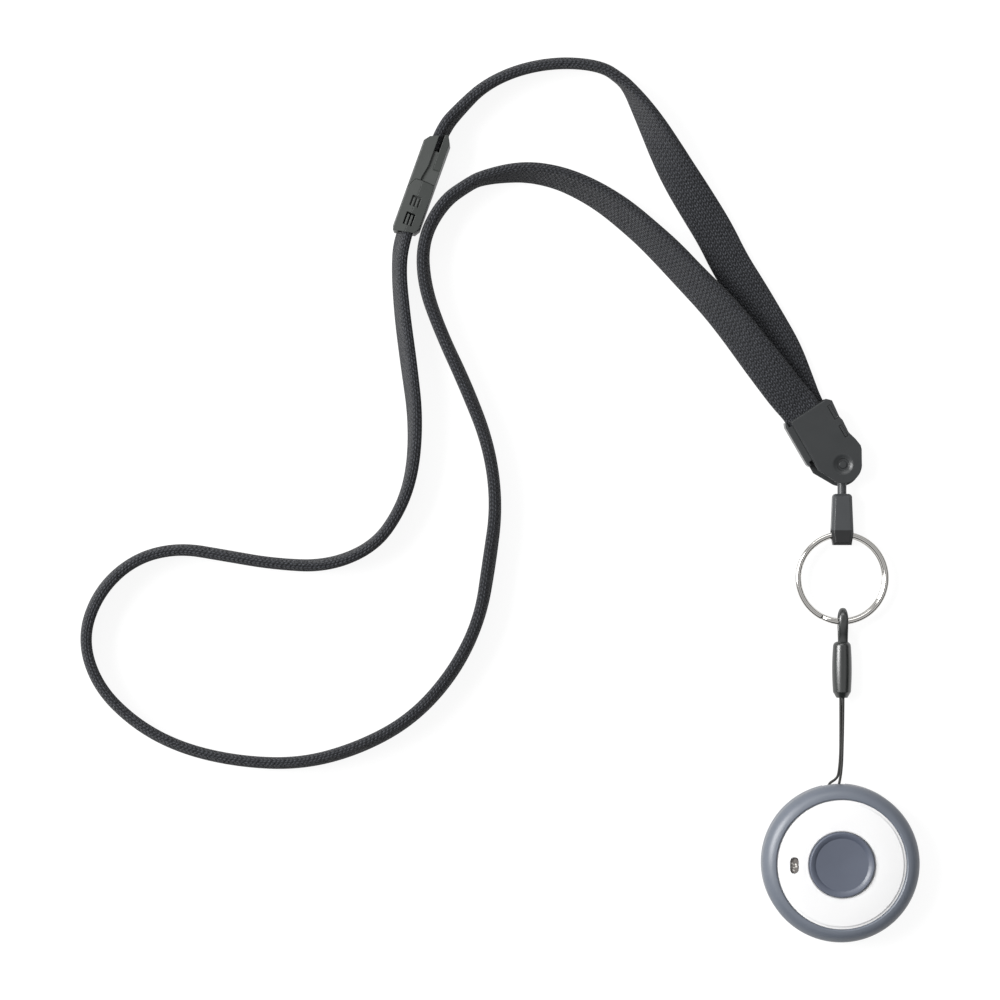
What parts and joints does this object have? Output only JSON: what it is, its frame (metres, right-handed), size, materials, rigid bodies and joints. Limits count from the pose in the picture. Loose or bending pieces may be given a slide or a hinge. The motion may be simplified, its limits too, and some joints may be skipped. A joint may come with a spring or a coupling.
{
  "type": "panic button pendant",
  "caption": "Round wearable panic button with a dished push button and indicator, on a split ring, swivel hook, folding strap clamp and breakaway neck lanyard.",
  "frame": {"origin": "middle of the pendant's flat back, which rests on the table", "axes": "+Z out of the button's face, +Y from the pendant along the cord and the ring to the lanyard's clamp"},
  "size_m": [0.2239, 0.236, 0.012],
  "materials": {
    "case_grey_blue": "satin moulded plastic",
    "button_grey_blue": "satin moulded plastic, softer in the dish",
    "plate_white": "smooth white plastic",
    "lens_clear": "clear moulded light pipe",
    "seal_rubber": "soft black rubber",
    "screw_steel": "plain steel",
    "board_laminate": "green solder mask",
    "chip_black": "moulded epoxy",
    "switch_white": "white plunger",
    "led_white": "pale lamp body",
    "can_metal": "pressed can",
    "antenna_copper": "tinned copper strip",
    "cell_steel": "nickel-plated cell",
    "contact_metal": "plated spring strip",
    "bead_plastic": "semi-gloss black plastic",
    "hook_plastic": "semi-gloss black plastic",
    "clamp_plastic": "matt black plastic",
    "buckle_plastic": "matt dark grey plastic",
    "ring_nickel": "polished nickel-plated steel",
    "cord_black": "fine braided cord",
    "strap_braid": "tubular polyester braid with a stitch grain"
  },
  "bodies": {
    "lanyard": {"strap_long": "strap_braid", "strap_short": "strap_braid", "clamp_back": "clamp_plastic", "clamp_front": "clamp_plastic", "clamp_pin": "clamp_plastic", "breakaway_socket": "buckle_plastic", "breakaway_socket_lid": "buckle_plastic"},
    "plug_half": {"breakaway_plug": "buckle_plastic", "breakaway_plug_lid": "buckle_plastic"},
    "swivel": {"swivel_eye": "hook_plastic"},
    "hook_body": {"hook": "hook_plastic"},
    "key_ring": {"split_ring": "ring_nickel"},
    "connector": {"connector_bead": "bead_plastic", "connector_loop": "bead_plastic", "cord_loop": "cord_black"},
    "pendant": {"rear_case": "case_grey_blue", "front_case": "case_grey_blue", "face_plate": "plate_white", "indicator_lens": "lens_clear", "seal_ring": "seal_rubber", "case_screws": "screw_steel", "circuit_board": "board_laminate", "switch_body": "chip_black", "indicator_led": "led_white", "radio_chip": "chip_black", "crystal": "can_metal", "antenna": "antenna_copper", "coin_cell": "cell_steel", "battery_clip": "contact_metal", "battery_contact": "contact_metal"},
    "button": {"button_cap": "button_grey_blue", "switch_plunger": "switch_white"}
  },
  "joints": [
    {"name": "breakaway_release", "type": "slide", "parent": "lanyard", "child": "plug_half", "axis": [0.3387, 0.9409, 0], "range_m": [0, 0.009], "deforming": ["strap_short"]},
    {"name": "hook_swing", "type": "hinge", "parent": "lanyard", "child": "swivel", "pos_m": [0.00065, 0.1063, 0.0032], "axis": [0, 0, 1], "range_deg": [-30, 100]},
    {"name": "hook_swivel", "type": "hinge", "parent": "swivel", "child": "hook_body", "pos_m": [0.00065, 0.0932, 0.0032], "axis": [0, 1, 0], "continuous": true},
    {"name": "ring_spin", "type": "hinge", "parent": "hook_body", "child": "key_ring", "pos_m": [0.00065, 0.076, 0.0032], "axis": [0, 0, 1], "continuous": true},
    {"name": "connector_swing", "type": "hinge", "parent": "hook_body", "child": "connector", "pos_m": [0.00065, 0.076, 0.0032], "axis": [0, 0, 1], "range_deg": [-25, 60]},
    {"name": "pendant_tilt", "type": "hinge", "parent": "connector", "child": "pendant", "pos_m": [-0.0015, 0.0186, 0.002], "axis": [1, 0, 0], "range_deg": [0, 90]},
    {"name": "button_press", "type": "slide", "parent": "pendant", "child": "button", "axis": [0, 0, -1], "range_m": [0, 0.0005], "stiffness_N_per_m": 2000, "springref_m": -0.0002}
  ]
}
